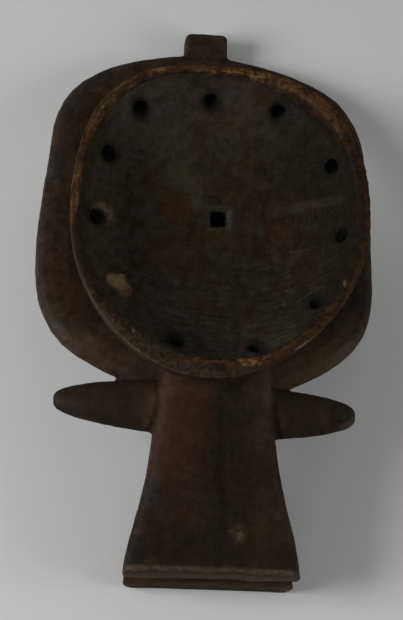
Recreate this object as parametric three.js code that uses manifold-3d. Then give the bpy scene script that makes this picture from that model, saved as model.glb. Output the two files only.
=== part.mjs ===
// Bush cow crest mask of the Mama people, carved from one block of wood.
// It lies upside down as the photograph shows it: the hollow cap faces up and
// the weight rests on the back of the horn ring and on the tip of the upper jaw.
// Millimetres. +Z is up, +Y points to the back of the head, -Y to the muzzle tip.

import * as THREE from 'three';
import { mergeVertices } from 'three/addons/utils/BufferGeometryUtils.js';
import Module from 'manifold-3d';

const wasm = await Module();
wasm.setup();

// The carving is first drawn with the flat lip of the cap level at height 0.
// Every height in that drawing is therefore a negative depth below the lip.
const LYING_PITCH = THREE.MathUtils.degToRad(8.75);
const REST_FLAT = 1.2;
const ROOM = 1000;
const WELD = 1e-4;

// An outline is a mean radius with waves: lobes around it, their height, the way one faces.
const LIP_OUTSIDE = {
  x: 0, y: 0, mean: 101.7,
  waves: [[1, 5.3, 106], [2, 4.6, 85], [3, 2.5, 20], [4, 1.4, 45], [5, 1.5, -20], [6, 0.3, 1]],
};
const LIP_INSIDE = {
  x: 0, y: 5, mean: 92.9,
  waves: [[1, 3.0, 143], [2, 3.6, -89], [3, 1.5, 25], [4, 1.7, 38], [5, 0.8, -19]],
};
const HORN_OUTSIDE = {
  x: 2, y: 40, mean: 131.8,
  waves: [
    [1, 3.3, -116], [2, 13.3, 86], [3, 0.5, 16], [4, 6.3, 42],
    [5, 1, -17], [6, 0.4, -28], [7, 0.4, 14], [8, 1.5, -1],
  ],
};

const CAP_HEIGHT = 86;
const CAP_FULLNESS = 0.92;
const DISH_DEPTH = 36;
const DISH_FULLNESS = 0.77;
const CAP_SIDES = 64;
const CAP_STEPS = 9;
const LAST_CAP_LEVEL = 0.985;
const ABOVE_LIP = 6;

// Each cord hole is an angle round the dish and its mouth's place as a share of the radius there.
const CORD_HOLES = [
  [-3.9, 0.918], [29.8, 0.904], [64, 0.903], [94, 0.87], [125, 0.908],
  [148.5, 0.873], [179.5, 0.868], [251.5, 0.883], [287, 0.912], [321, 0.912],
];
const CORD_HOLE_RADIUS = 4;
const CORD_HOLE_SIDES = 12;
const CORD_HOLE_DIP = THREE.MathUtils.degToRad(26);
const CORD_HOLE_BEFORE = 14;
const CORD_HOLE_BEYOND = 34;
const CROWN_HOLE_SIDE = 9;
const CROWN_HOLE_MOUTH = 14;
const CROWN_HOLE_FLARE = 2.5;
const CROWN_HOLE_AT = { x: 1.8, y: 14 };

const MUZZLE_ROOT = -4;
const MUZZLE_NECK = -100;
const MUZZLE_TIP = -213;
const MUZZLE_STEPS = 20;
const MUZZLE_SIDES = 36;
const TIP_HALF_WIDTH = 58.5;
const MUZZLE_HALF_WIDTHS = [
  [-216, TIP_HALF_WIDTH], [-195, 55.3], [-170, 48.1], [-140, 41.8], [-100, 37], [0, 24],
];
const NECK_DRIFT = 2.9;
const TIP_DRIFT = 3.9;
const NECK_UNDERSIDE = -40;
const TIP_UNDERSIDE = -62;
const MUZZLE_TOPS = [[-216, -103], [-160, -91], [-100, -85], [-40, -82], [10, -74]];
const NECK_SQUARENESS = 4;
const TIP_SQUARENESS = 8;
const TIP_TAPER = 0.07;
const LIP_LEAN = 5;
const LEAN_ONSET = 6;
const LEAN_ROUNDING = 3;
const MOUTH_GAP_TIP = 14;
const MOUTH_GAP_END = 5;
const MOUTH_LINE_TIP = -82;
const MOUTH_LINE_END = -76;
const MOUTH_END = -146;
const LOWER_JAW_BULGE = 5;
const MOUTH_STATIONS = 8;
const MOUTH_REACH = 1.3 * TIP_HALF_WIDTH;
const THROAT_STEPS = 5;

const HORN_HEIGHTS = [[-110, -66], [-60, -70], [0, -92], [50, -113], [100, -131], [150, -147], [190, -156]];
const HORN_STATIONS = 76;
const HORN_SIDES = 16;
const HORN_WIDTH_BACK = 27;
const HORN_WIDTH_ROOT = 56;
const HORN_THICKNESS_BACK = 17;
const HORN_THICKNESS_ROOT = 27;
const HORN_SQUARENESS = 2.5;
const HORN_BACK = 180;
const HORN_FRONT = -102;

const TAB = {
  left: -12.3, right: 18.6, front: 158, back: 191.8, low: -161, high: -146, corner: 4.5, bevel: 2,
};

const EAR_ROOT = 22;
const EAR_NECK = 36;
const EAR_HALF_BREADTH = 17.6;
const EAR_HALF_THICKNESS = 12;
const EAR_SQUARENESS = 2.2;
const EAR_SWELL = { onset: 1.3, bluntness: 0.36 };
const EAR_TIP_GAP = 0.6;
const EAR_STEPS = 9;
const EAR_CROWDING = 1.6;
const EAR_SIDES = 18;
const EARS = [
  { side: -1, reach: 100.8, rootY: -107.5, tipY: -101.8, rootZ: -60, tipZ: -74 },
  { side: 1, reach: 98, rootY: -109.7, tipY: -105.5, rootZ: -60, tipZ: -74 },
];

const TURN = 2 * Math.PI;
const HALVINGS = 40;

function mix(a, b, t) {
  return a + (b - a) * t;
}

function radiusOf(outline, angle) {
  let radius = outline.mean;
  for (const [lobes, height, degrees] of outline.waves) {
    radius += height * Math.cos(lobes * (angle - THREE.MathUtils.degToRad(degrees)));
  }
  return radius;
}

// A size that passes smoothly through a few stations along y.
function sizeAt(stations, y) {
  const curve = new THREE.SplineCurve(stations.map(([at, size]) => new THREE.Vector2(at, size)));
  let low = 0;
  let high = 1;
  for (let i = 0; i < HALVINGS; i += 1) {
    const middle = (low + high) / 2;
    if (curve.getPoint(middle).x < y) low = middle;
    else high = middle;
  }
  return curve.getPoint(low).y;
}

// A rounded box outline: power 2 is an ellipse, a higher power is squarer.
function squircle(angle, halfAcross, halfUp, power) {
  const c = Math.cos(angle);
  const s = Math.sin(angle);
  return [
    halfAcross * Math.sign(c) * Math.abs(c) ** (2 / power),
    halfUp * Math.sign(s) * Math.abs(s) ** (2 / power),
  ];
}

function solidFrom(geometry) {
  const bare = geometry.clone();
  bare.deleteAttribute('normal');
  bare.deleteAttribute('uv');
  const merged = mergeVertices(bare, WELD);
  const mesh = new wasm.Mesh({
    numProp: 3,
    vertProperties: new Float32Array(merged.attributes.position.array),
    triVerts: new Uint32Array(merged.index.array),
  });
  const solid = new wasm.Manifold(mesh);
  if (solid.volume() > 0) return solid;
  const flipped = new Uint32Array(merged.index.array);
  for (let i = 0; i < flipped.length; i += 3) {
    [flipped[i + 1], flipped[i + 2]] = [flipped[i + 2], flipped[i + 1]];
  }
  mesh.triVerts = flipped;
  return new wasm.Manifold(mesh);
}

// A closed skin over rings of points. With no joined ends each end closes on its middle.
function skinned(rings, joinedEnds) {
  const count = rings[0].length;
  const points = rings.flat();
  const faces = [];
  const spans = joinedEnds ? rings.length : rings.length - 1;
  for (let r = 0; r < spans; r += 1) {
    const here = r * count;
    const next = ((r + 1) % rings.length) * count;
    for (let i = 0; i < count; i += 1) {
      const j = (i + 1) % count;
      faces.push(here + i, here + j, next + j, here + i, next + j, next + i);
    }
  }
  if (!joinedEnds) {
    for (const [ring, reverse] of [[0, true], [rings.length - 1, false]]) {
      const middle = new THREE.Vector3();
      rings[ring].forEach((p) => middle.add(p));
      points.push(middle.divideScalar(count));
      const centre = points.length - 1;
      for (let i = 0; i < count; i += 1) {
        const a = ring * count + i;
        const b = ring * count + ((i + 1) % count);
        if (reverse) faces.push(centre, b, a);
        else faces.push(centre, a, b);
      }
    }
  }
  const geometry = new THREE.BufferGeometry();
  const numbers = points.flatMap((p) => [p.x, p.y, p.z]);
  geometry.setAttribute('position', new THREE.Float32BufferAttribute(numbers, 3));
  geometry.setIndex(faces);
  return solidFrom(geometry);
}

// A bowl-shaped body hanging below height 0 from an outline.
function bowl(outline, depth, fullness, above) {
  const rings = [];
  const levels = above > 0 ? [-1] : [];
  for (let i = 0; i < CAP_STEPS; i += 1) levels.push(i / CAP_STEPS);
  levels.push(LAST_CAP_LEVEL);
  for (const level of levels) {
    const sweep = Math.max(level, 0) * Math.PI / 2;
    const shrink = Math.cos(sweep) ** fullness;
    const height = level < 0 ? above : -depth * Math.sin(sweep);
    const ring = [];
    for (let i = 0; i < CAP_SIDES; i += 1) {
      const angle = TURN * i / CAP_SIDES;
      const radius = radiusOf(outline, angle) * shrink;
      ring.push(new THREE.Vector3(
        outline.x + radius * Math.cos(angle), outline.y + radius * Math.sin(angle), height));
    }
    rings.push(ring);
  }
  return skinned(rings, false);
}

function muzzle() {
  const rings = [];
  for (let i = 0; i <= MUZZLE_STEPS; i += 1) {
    const y = mix(MUZZLE_ROOT, MUZZLE_TIP, i / MUZZLE_STEPS);
    const along = Math.max(0, (y - MUZZLE_NECK) / (MUZZLE_TIP - MUZZLE_NECK));
    const halfWidth = sizeAt(MUZZLE_HALF_WIDTHS, y);
    const under = mix(NECK_UNDERSIDE, TIP_UNDERSIDE, along);
    const top = sizeAt(MUZZLE_TOPS, y);
    const middle = (under + top) / 2;
    const half = (under - top) / 2;
    const drift = mix(NECK_DRIFT, TIP_DRIFT, along);
    const squareness = mix(NECK_SQUARENESS, TIP_SQUARENESS, along);
    const ring = [];
    for (let k = 0; k < MUZZLE_SIDES; k += 1) {
      const [across, up] = squircle(TURN * k / MUZZLE_SIDES, halfWidth, half, squareness);
      const below = (half - up) / (2 * half);
      const lean = LIP_LEAN * along ** LEAN_ONSET * (1 - (1 - below) ** LEAN_ROUNDING);
      const taper = 1 - TIP_TAPER * along * below;
      ring.push(new THREE.Vector3(drift + across * taper, y - lean, middle + up));
    }
    rings.push(ring);
  }
  return skinned(rings, false);
}

// The open mouth: a wedge right across the muzzle that ends in a round throat.
// The lower jaw's inner face bulges into it along the middle.
function mouthGap() {
  const rings = [];
  const beyond = MUZZLE_TIP - 3 * LIP_LEAN;
  for (let i = 0; i <= MOUTH_STATIONS; i += 1) {
    const x = mix(-MOUTH_REACH, MOUTH_REACH, i / MOUTH_STATIONS);
    const bulge = LOWER_JAW_BULGE * Math.max(0, 1 - (x / TIP_HALF_WIDTH) ** 2);
    const ring = [new THREE.Vector3(x, beyond, MOUTH_LINE_TIP - MOUTH_GAP_TIP / 2)];
    for (let k = 0; k <= THROAT_STEPS; k += 1) {
      const turn = Math.PI * (k / THROAT_STEPS - 0.5);
      ring.push(new THREE.Vector3(
        x,
        MOUTH_END + Math.cos(turn) * MOUTH_GAP_END / 2,
        MOUTH_LINE_END + Math.sin(turn) * MOUTH_GAP_END / 2,
      ));
    }
    ring.push(new THREE.Vector3(x, beyond, MOUTH_LINE_TIP + MOUTH_GAP_TIP / 2 - bulge));
    rings.push(ring);
  }
  return skinned(rings, false);
}

// Both horns sweep back from the muzzle and meet behind the cap as one flat ring.
function hornRing() {
  const rings = [];
  for (let i = 0; i < HORN_STATIONS; i += 1) {
    const angle = TURN * i / HORN_STATIONS;
    const outer = radiusOf(HORN_OUTSIDE, angle);
    const y = HORN_OUTSIDE.y + outer * Math.sin(angle);
    const forward = (HORN_BACK - y) / (HORN_BACK - HORN_FRONT);
    const width = mix(HORN_WIDTH_BACK, HORN_WIDTH_ROOT, forward);
    const thickness = mix(HORN_THICKNESS_BACK, HORN_THICKNESS_ROOT, forward);
    const ring = [];
    for (let k = 0; k < HORN_SIDES; k += 1) {
      const [across, up] = squircle(TURN * k / HORN_SIDES, width / 2, thickness / 2, HORN_SQUARENESS);
      const radius = outer - width / 2 + across;
      const px = HORN_OUTSIDE.x + radius * Math.cos(angle);
      const py = HORN_OUTSIDE.y + radius * Math.sin(angle);
      ring.push(new THREE.Vector3(px, py, sizeAt(HORN_HEIGHTS, py) + up));
    }
    rings.push(ring);
  }
  return skinned(rings, true);
}

function ear({ side, reach, rootY, tipY, rootZ, tipZ }) {
  const rings = [];
  for (let i = 0; i <= EAR_STEPS; i += 1) {
    const t = 1 - (1 - i / EAR_STEPS) ** EAR_CROWDING;
    const x = mix(EAR_ROOT, reach - EAR_TIP_GAP, t);
    const s = Math.max(0, (x - EAR_NECK) / (reach - EAR_NECK));
    const swell = (1 - s ** EAR_SWELL.onset) ** EAR_SWELL.bluntness;
    const ring = [];
    for (let k = 0; k < EAR_SIDES; k += 1) {
      const [along, up] = squircle(
        TURN * k / EAR_SIDES, EAR_HALF_BREADTH * swell, EAR_HALF_THICKNESS * swell, EAR_SQUARENESS);
      ring.push(new THREE.Vector3(side * x, mix(rootY, tipY, s) + along, mix(rootZ, tipZ, s) + up));
    }
    rings.push(ring);
  }
  return skinned(rings, false);
}

function tab() {
  const {
    left, right, front, back, low, high, corner, bevel,
  } = TAB;
  const plan = new THREE.Shape();
  plan.moveTo(left, front);
  plan.lineTo(right, front);
  plan.lineTo(right, back - corner);
  plan.absarc(right - corner, back - corner, corner, 0, Math.PI / 2, false);
  plan.absarc(left + corner, back - corner, corner, Math.PI / 2, Math.PI, false);
  plan.closePath();
  const geometry = new THREE.ExtrudeGeometry(plan, {
    depth: high - low - 2 * bevel,
    bevelEnabled: true,
    bevelThickness: bevel,
    bevelSize: bevel,
    bevelOffset: -bevel,
    bevelSegments: 2,
    curveSegments: 4,
  });
  geometry.translate(0, 0, low + bevel);
  return solidFrom(geometry);
}

// Cord holes run outward and down through the wall of the cap.
function cordHole([degrees, inset]) {
  const angle = THREE.MathUtils.degToRad(degrees);
  const geometry = new THREE.CylinderGeometry(
    CORD_HOLE_RADIUS, CORD_HOLE_RADIUS, CORD_HOLE_BEFORE + CORD_HOLE_BEYOND, CORD_HOLE_SIDES);
  const level = Math.cos(CORD_HOLE_DIP);
  const way = new THREE.Vector3(Math.cos(angle) * level, Math.sin(angle) * level, -Math.sin(CORD_HOLE_DIP));
  geometry.applyQuaternion(new THREE.Quaternion().setFromUnitVectors(new THREE.Vector3(0, 1, 0), way));
  const circle = inset * radiusOf(LIP_INSIDE, angle);
  const sweep = Math.acos(inset ** (1 / DISH_FULLNESS));
  const start = new THREE.Vector3(
    LIP_INSIDE.x + circle * Math.cos(angle),
    LIP_INSIDE.y + circle * Math.sin(angle),
    -DISH_DEPTH * Math.sin(sweep),
  );
  start.addScaledVector(way, (CORD_HOLE_BEYOND - CORD_HOLE_BEFORE) / 2);
  geometry.translate(start.x, start.y, start.z);
  return solidFrom(geometry);
}

// The square hole runs right through the crown and opens wider at its worn mouth.
function crownHole() {
  const length = 3 * CAP_HEIGHT;
  const geometry = new THREE.BoxGeometry(CROWN_HOLE_SIDE, CROWN_HOLE_SIDE, length);
  geometry.translate(CROWN_HOLE_AT.x, CROWN_HOLE_AT.y, -length / 2 + 2 * ABOVE_LIP - DISH_DEPTH);
  const worn = new THREE.CylinderGeometry(
    CROWN_HOLE_MOUTH / Math.SQRT2, CROWN_HOLE_SIDE / Math.SQRT2, CROWN_HOLE_FLARE, 4);
  worn.rotateY(Math.PI / 4).rotateX(Math.PI / 2);
  worn.translate(CROWN_HOLE_AT.x, CROWN_HOLE_AT.y, -DISH_DEPTH - CROWN_HOLE_FLARE / 2 + 0.3);
  return solidFrom(geometry).add(solidFrom(worn));
}

let carving = bowl(LIP_OUTSIDE, CAP_HEIGHT, CAP_FULLNESS, 0);
carving = carving.add(muzzle()).add(hornRing()).add(tab());
for (const sizes of EARS) carving = carving.add(ear(sizes));
carving = carving.subtract(bowl(LIP_INSIDE, DISH_DEPTH, DISH_FULLNESS, ABOVE_LIP));
carving = carving.subtract(mouthGap()).subtract(crownHole());
for (const hole of CORD_HOLES) carving = carving.subtract(cordHole(hole));

// The carving is pitched as it lies, and the two places it rests on are worn flat.
carving = carving.rotate([THREE.MathUtils.radToDeg(LYING_PITCH), 0, 0]);
const lying = carving.boundingBox();
carving = carving.translate([
  -(lying.min[0] + lying.max[0]) / 2,
  -(lying.min[1] + lying.max[1]) / 2,
  -lying.min[2] - REST_FLAT,
]);
const above = new THREE.BoxGeometry(ROOM, ROOM, ROOM);
above.translate(0, 0, ROOM / 2);
carving = carving.intersect(solidFrom(above));

const result = carving.getMesh();
const geometry = new THREE.BufferGeometry();
const positions = [];
for (let i = 0; i < result.vertProperties.length; i += result.numProp) {
  positions.push(result.vertProperties[i], result.vertProperties[i + 1], result.vertProperties[i + 2]);
}
geometry.setAttribute('position', new THREE.Float32BufferAttribute(positions, 3));
geometry.setIndex(Array.from(result.triVerts));
geometry.computeVertexNormals();

const wood = new THREE.MeshStandardMaterial({ color: '#3b2a20', roughness: 0.62, metalness: 0 });
const mask = new THREE.Mesh(geometry, wood);
mask.name = 'crest_mask';
const group = new THREE.Group();
group.name = 'mama_crest_mask';
group.add(mask);
export default group;
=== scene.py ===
"""Bush cow crest mask carved from one block of wood, lying with its hollow cap up.

Lengths are in metres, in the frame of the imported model. The carving's own frame is the one in which
the flat lip of the cap is level at height 0, with +Y to the back of the head, and the mask lies pitched
from it. Tables of spots, scratches and dents hold millimetres in the carving's own frame.
"""

from math import acos, cos, pi, radians, sin, tan

import bmesh
import bpy
import numpy as np
from mathutils import Matrix, Vector


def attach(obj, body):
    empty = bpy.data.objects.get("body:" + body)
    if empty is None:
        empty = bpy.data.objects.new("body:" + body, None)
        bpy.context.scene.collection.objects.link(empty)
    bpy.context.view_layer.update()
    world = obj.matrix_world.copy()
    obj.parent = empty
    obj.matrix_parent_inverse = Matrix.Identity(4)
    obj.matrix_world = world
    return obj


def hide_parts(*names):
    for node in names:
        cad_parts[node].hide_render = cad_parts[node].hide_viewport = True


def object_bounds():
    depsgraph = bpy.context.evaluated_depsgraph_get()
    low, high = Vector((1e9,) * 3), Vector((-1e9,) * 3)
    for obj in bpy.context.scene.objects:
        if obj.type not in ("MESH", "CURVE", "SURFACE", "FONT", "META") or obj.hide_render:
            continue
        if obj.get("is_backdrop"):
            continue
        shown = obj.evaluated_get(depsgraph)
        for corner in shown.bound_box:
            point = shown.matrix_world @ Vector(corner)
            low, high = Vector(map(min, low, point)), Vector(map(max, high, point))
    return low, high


bl_info = {
    "name": "Bush cow crest mask",
    "version": (1, 0, 0),
    "blender": (4, 5, 0),
    "location": "View3D > Sidebar > Crest Mask",
    "description": "Carves, finishes and stages a wooden bush cow crest mask",
    "category": "Add Mesh",
}

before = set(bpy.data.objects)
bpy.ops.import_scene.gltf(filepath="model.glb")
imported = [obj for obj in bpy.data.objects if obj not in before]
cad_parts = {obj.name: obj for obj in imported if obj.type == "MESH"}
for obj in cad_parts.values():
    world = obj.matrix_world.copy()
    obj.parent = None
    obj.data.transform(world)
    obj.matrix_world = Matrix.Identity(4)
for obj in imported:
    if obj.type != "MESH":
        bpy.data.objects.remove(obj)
CAD_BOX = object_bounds()

MM = 0.001
TURN = 2 * pi

# Where the carving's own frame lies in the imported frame.
LYING_PITCH = radians(8.75)
LIP_CENTRE = Vector((0.19, -5.74, 133.59)) * MM
LYING = Matrix.Rotation(LYING_PITCH, 3, "X")

# An outline is a centre and a mean radius with waves: lobes around it, their height, the way one faces.
LIP_OUTSIDE = {
    "centre": (0.0, 0.0),
    "mean": 101.7 * MM,
    "waves": ((1, 5.3, 106), (2, 4.6, 85), (3, 2.5, 20), (4, 1.4, 45), (5, 1.5, -20), (6, 0.3, 1)),
}
LIP_INSIDE = {
    "centre": (0.0, 5.0 * MM),
    "mean": 92.9 * MM,
    "waves": ((1, 3.0, 143), (2, 3.6, -89), (3, 1.5, 25), (4, 1.7, 38), (5, 0.8, -19)),
}
DISH_DEPTH = 36 * MM
DISH_FULLNESS = 0.77

# Cord holes run outward and down through the wall of the cap.
CORD_HOLE_DIP = radians(26)
CORD_HOLE_LENGTH = 34 * MM
# Each is an angle round the dish and its mouth's place as a share of the radius there.
CORD_HOLES = (
    (-3.9, 0.918), (29.8, 0.904), (64, 0.903), (94, 0.87), (125, 0.908),
    (148.5, 0.873), (179.5, 0.868), (251.5, 0.883), (287, 0.912), (321, 0.912),
)
CROWN_HOLE_SIDE = 9 * MM
CROWN_HOLE_AT = (1.8 * MM, 14 * MM)

# Half the muzzle's width at stations along it, from the tip to the neck.
MUZZLE_STATIONS = (-216 * MM, -195 * MM, -170 * MM, -140 * MM, -100 * MM)
MUZZLE_HALF_WIDTHS = (58.5 * MM, 55.3 * MM, 48.1 * MM, 41.8 * MM, 37 * MM)
MUZZLE_DRIFT = 3.4 * MM
MUZZLE_ROUNDING = 1.1 * MM

# The groove under the muzzle passes a point and leans to one side; its stain is narrower than it is.
GROOVE_POINT = (6.5 * MM, -122 * MM)
GROOVE_LEAN = 0.055
GROOVE_BREADTH = 3.6 * MM
GROOVE_STAIN = 2.6 * MM

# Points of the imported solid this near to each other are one.
JOINING_DISTANCE = 1e-6

# Wear pressed into the form. Chips have sizes in millimetres, and depths as shares of their sizes. Those
# of the lower jaw lie in a box, given by its two ends along each axis.
SOFTENING_STEPS = (0.55, -0.52)
RIM_SINK = 1.5 * MM
CORD_MOUTH_DEPTH = 0.8 * MM
CROWN_MOUTH_DEPTH = 0.3 * MM
RUBBING = 0.6
RUBBING_PASSES = 16
WEAR_SPREADING = 10
CHIP_SEED = 7
LIP_CHIPS = 60
LIP_CHIP_SIZES = (1.6, 4.2)
LIP_CHIP_DEPTHS = (0.06, 0.17)
OUTER_CHIPS = 0.4
JAW_CHIPS = 26
JAW_CHIP_SIZES = (1.6, 4.0)
JAW_CHIP_DEPTHS = (0.12, 0.3)
JAW_END = ((-56, 60), (-214, -209), (-66, -61))
# Each dent is a middle, a reach, a depth and how uneven its edge is, by waves with these numbers.
DENT_WAVES = ((2100, 1300, 900), (-1500, 2300, 700))
DISH_DENTS = (
    ((-62.9, -37.4, -22), (9, 9.5, 12), 1.1, 0.16),
    ((-74.5, 9.8, -17), (4.5, 4, 8), 0.9, 0.15),
)
EAR_NOTCH = ((50, -97, -76), (9, 5, 24), 1.6)
# A row of small dents along the edge of the same ear.
EAR_NICKS = 9
EAR_NICK_FIRST = np.array((81, -111.6, -63))
EAR_NICK_STEP = np.array((1.5, 0.4, 0))
EAR_NICK_REACH = (2.4, 1.4, 12)
EAR_NICK_DEPTH = 0.25

# Tool marks. Gouge marks in the front of the dish run round a point at the back of the cap, and those
# at its right run nearly straight, a little aslant.
RELIEF_INPUTS = (
    "Adze depth", "Adze breadth", "Adze length", "Gouge depth", "Gouge spacing", "Unevenness", "Seed")
ADZE_LENGTH = 2.1
RELIEF_SEED = 3.7
GOUGE_CENTRE_Y = 118 * MM
GOUGE_SLANT = 0.12

# Soft spots of colour: each a middle, a reach and a share.
# The horns' spots are painted light: paler patches in an olive rubbed colour, most where the horns lie in
# shade.
HORN_PAINTED_LIGHT = (
    ((64, -80, -60), (34, 24, 30), 0.65), ((-70, -72, -62), (26, 16, 24), 0.22),
    ((90, -58, -64), (12, 26, 24), 0.34))
# Painted shade on the right of the horns.
HORN_SHADE = (((104, -30, -74), (12, 34, 30), 0.45),)
MUZZLE_SHADE = (((-22, -194, -58), (34, 17, 20), 0.22), ((12, -198, -60), (46, 13, 20), 0.42))
MUZZLE_RUB = (((42, -186, -58), (15, 26, 24), 0.14),)
OUTSIDE_CHIPS = (
    ((44.8, -176.7, -57), (2.2, 3, 8), 0.12), ((-44.4, -189.4, -58), (3, 2, 8), 0.1),
    ((-25.9, -192, -58), (3, 2, 8), 0.07), ((-75, -66, -60), (7, 5, 14), 0.06))
DISH_STAINS = (
    ((-25, 20, -35), (10, 9, 12), 1.0), ((40, 5, -33), (9, 5, 12), 0.7), ((19, 52, -32), (8, 6, 12), 0.4),
    ((58, -27, -27), (7, 6, 12), 0.4), ((-9, -47, -32), (12, 5, 12), 0.4),
    ((8, 34, -34), (16, 9, 12), 0.3), ((-45, 69, -25), (14, 8, 12), 0.25),
    ((44, -34, -28), (10, 8, 12), 0.22))
DISH_PATCH = (
    ((-66.4, -35.6, -22), (4.4, 4.4, 12), 0.85), ((-62.4, -36.0, -23), (5.0, 5.0, 12), 1.0),
    ((-58.8, -41.0, -24), (4.0, 5.2, 12), 0.95), ((-60.4, -31.4, -23), (2.0, 1.3, 12), 0.9))
LIP_NICKS = (
    ((7.1, 100.9, -8), (1.2, 1.2, 5), 0.7), ((-77.1, 73, -4), (1.3, 1.3, 5), 0.7),
    ((-54.2, -75.0, -3), (1.0, 1.7, 5), 0.6), ((78.6, -38, -3), (1.0, 2.0, 5), 0.6))

# Strokes: the dark hook of one ear, and scratches and smears in the dish. Each is a start, an end and
# a width, and in the dish also a share. The finest scratches are noise of one breadth.
EAR_HOOK = (((80, -103.5), (81, -111.6), 1.5), ((81, -111.6), (92.5, -110.6), 1.3))
SCRATCH_BREADTH = 1.1 * MM
DISH_SCRATCHES = (
    ((-47.8, -45.6), (-29, -52.5), 0.8, 0.45), ((-31, -52), (-22.5, -53.8), 2.2, 0.4),
    ((45.9, 39.0), (49.7, 26.5), 0.9, 0.12),
    ((-62.3, 56.9), (-60.2, 48.9), 0.7, 0.45), ((-58, 51.2), (-48.7, 50.7), 1.6, 0.4),
    ((3, 22), (13.4, 36.3), 0.8, 0.24), ((-11.6, 23.8), (-9.5, 41.0), 1.2, 0.16),
    ((35, 17), (61, 23.5), 4.6, 0.16), ((61, 23.5), (78, 24), 4.2, 0.15),
    ((-53.8, -2.9), (-42.7, -9.5), 0.9, 0.35), ((46.2, -8.9), (58.8, -7.2), 0.8, 0.3),
    ((52, -44), (66, -34), 0.8, 0.3), ((20, -20), (22, 8), 2.0, 0.12))

# Rubbed stretches of the lip: the way each faces and its reach in degrees, its place across the lip
# and its spread there, and a share.
GOLDEN_STRETCHES = (
    (-78, 12, 0.4, 0.46, 1.5), (-96, 20, 0.24, 0.34, 0.6), (-57, 34, 0.45, 0.9, 0.3),
    (-10, 56, 0.84, 0.42, 0.28), (46, 18, 0.35, 0.8, 0.64), (67, 27, 0.48, 0.85, 1.0),
    (88, 18, 0.36, 0.65, 0.7), (101, 16, 0.5, 0.75, 0.5), (113, 14, 0.84, 0.5, 1.15),
    (116, 24, 0.2, 0.5, 0.42), (123, 13, 0.84, 0.5, 0.8), (138, 24, 0.38, 0.8, 0.58),
    (171, 18, 0.5, 0.9, 1.05), (154, 14, 0.32, 0.6, 0.38), (167, 14, 0.46, 0.6, 0.66),
    (177, 9, 0.26, 0.46, 2.2))

# How the red, green and blue of a colour are changed in places.
OLIVE_PAINTED_LIGHT = (1.0, 0.98, 0.86)
REDDER_HANDLED = (1.0, 0.86, 0.8)
RIGHT_DISH_SHADE = (0.82, 0.81, 0.74)
GREEN_DUST = (1.1, 1.15, 1.1)
ARRIS_DUST = (0.86, 1.0, 0.9)
DULL_BARE = (0.78, 0.88, 0.85)
TAN_BARE = (1.08, 1.24, 1.12)
GREY_LIP = (0.9, 1.05, 1.0)
YELLOW_GLINT = (1.05, 0.9, 0.6)
RUSTY_SPECKS = (0.62, 0.55, 0.6)
GREENER = (0.93, 1.02, 0.92)
REDDER = (1.08, 0.96, 1.0)

# The sheen and the small relief of the surface.
WOOD_SHINE = 0.05
POLISH_ROUGHNESS = 0.35
BUMP_STRENGTH = 0.5
BUMP_DISTANCE = 0.45 * MM

# The stage: a floor, two soft lamps and light from all round.
FLOOR_HALF = 3.0
FLOOR_TINT = (1.0, 0.995, 0.99)
FLOOR_ROUGHNESS = 0.9
FLOOR_SHINE = 0.1
LAMP_SIZE = 0.8
KEY_PLACE = (-1.6, -0.3, 0.82)
SIDE_PLACE = (1.5, -0.4, 0.6)
LAMPS_AIM = Vector((0, -0.02, 0.08))

# The photograph's frame in pixels, and how its camera sees the mask.
FRAME_WIDE = 403
FRAME_HIGH = 620
SENSOR_HIGH = 24.0
PIXELS_PER_METRE = 1583
LIP_PIXEL = (221.8, 220.4)
VIEW_FROM_LEFT = radians(5.6)
VIEW_FROM_FRONT = radians(17)
VIEW_ROLL = radians(0.9)
VIEW_DISTANCE = 1.5


def own_frame(points):
    """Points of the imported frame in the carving's own frame."""
    return (points - np.array(LIP_CENTRE)) @ np.array(LYING)


def ease(low, high, value):
    """0 before low, 1 after high and smooth between; low may be the greater."""
    share = np.clip((value - low) / (high - low), 0, 1)
    return share * share * (3 - 2 * share)


def ease_mm(low, high, value):
    """The same, with low and high in millimetres."""
    return ease(low * MM, high * MM, value)


def radius_of(outline, turn):
    """The radius of a waved outline at an angle."""
    radius = outline["mean"]
    for lobes, height, degrees in outline["waves"]:
        radius = radius + height * MM * np.cos(lobes * (turn - radians(degrees)))
    return radius


def beyond(outline, own):
    """How far each point lies outside an outline, seen from above."""
    x = own[:, 0] - outline["centre"][0]
    y = own[:, 1] - outline["centre"][1]
    return np.hypot(x, y) - radius_of(outline, np.arctan2(y, x))


def facing(own, degrees, reach, full):
    """1 within full degrees of one side of the cap, 0 past reach degrees from it."""
    turn = np.arctan2(own[:, 1], own[:, 0])
    return ease(cos(radians(reach)), cos(radians(full)), np.cos(turn - radians(degrees)))


def cord_hole_distances(own):
    """For each cord hole, the way from its mouth to each point, and its parts along and off the axis."""
    for degrees, inset in CORD_HOLES:
        turn = radians(degrees)
        sweep = acos(inset ** (1 / DISH_FULLNESS))
        circle = inset * radius_of(LIP_INSIDE, turn)
        mouth = np.array((
            LIP_INSIDE["centre"][0] + circle * cos(turn),
            LIP_INSIDE["centre"][1] + circle * sin(turn),
            -DISH_DEPTH * sin(sweep),
        ))
        level = cos(CORD_HOLE_DIP)
        way = np.array((cos(turn) * level, sin(turn) * level, -sin(CORD_HOLE_DIP)))
        away = own - mouth
        along = away @ way
        yield away, along, np.linalg.norm(away - along[:, None] * way, axis=1)


def crown_hole_distance(own):
    """How far each point is from the middle of the square hole, seen from above."""
    return np.maximum(abs(own[:, 0] - CROWN_HOLE_AT[0]), abs(own[:, 1] - CROWN_HOLE_AT[1]))


def beside_groove(x, y):
    """How far a place lies to the right of the line of the muzzle's groove."""
    return x - GROOVE_POINT[0] + (y - GROOVE_POINT[1]) * GROOVE_LEAN


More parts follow.
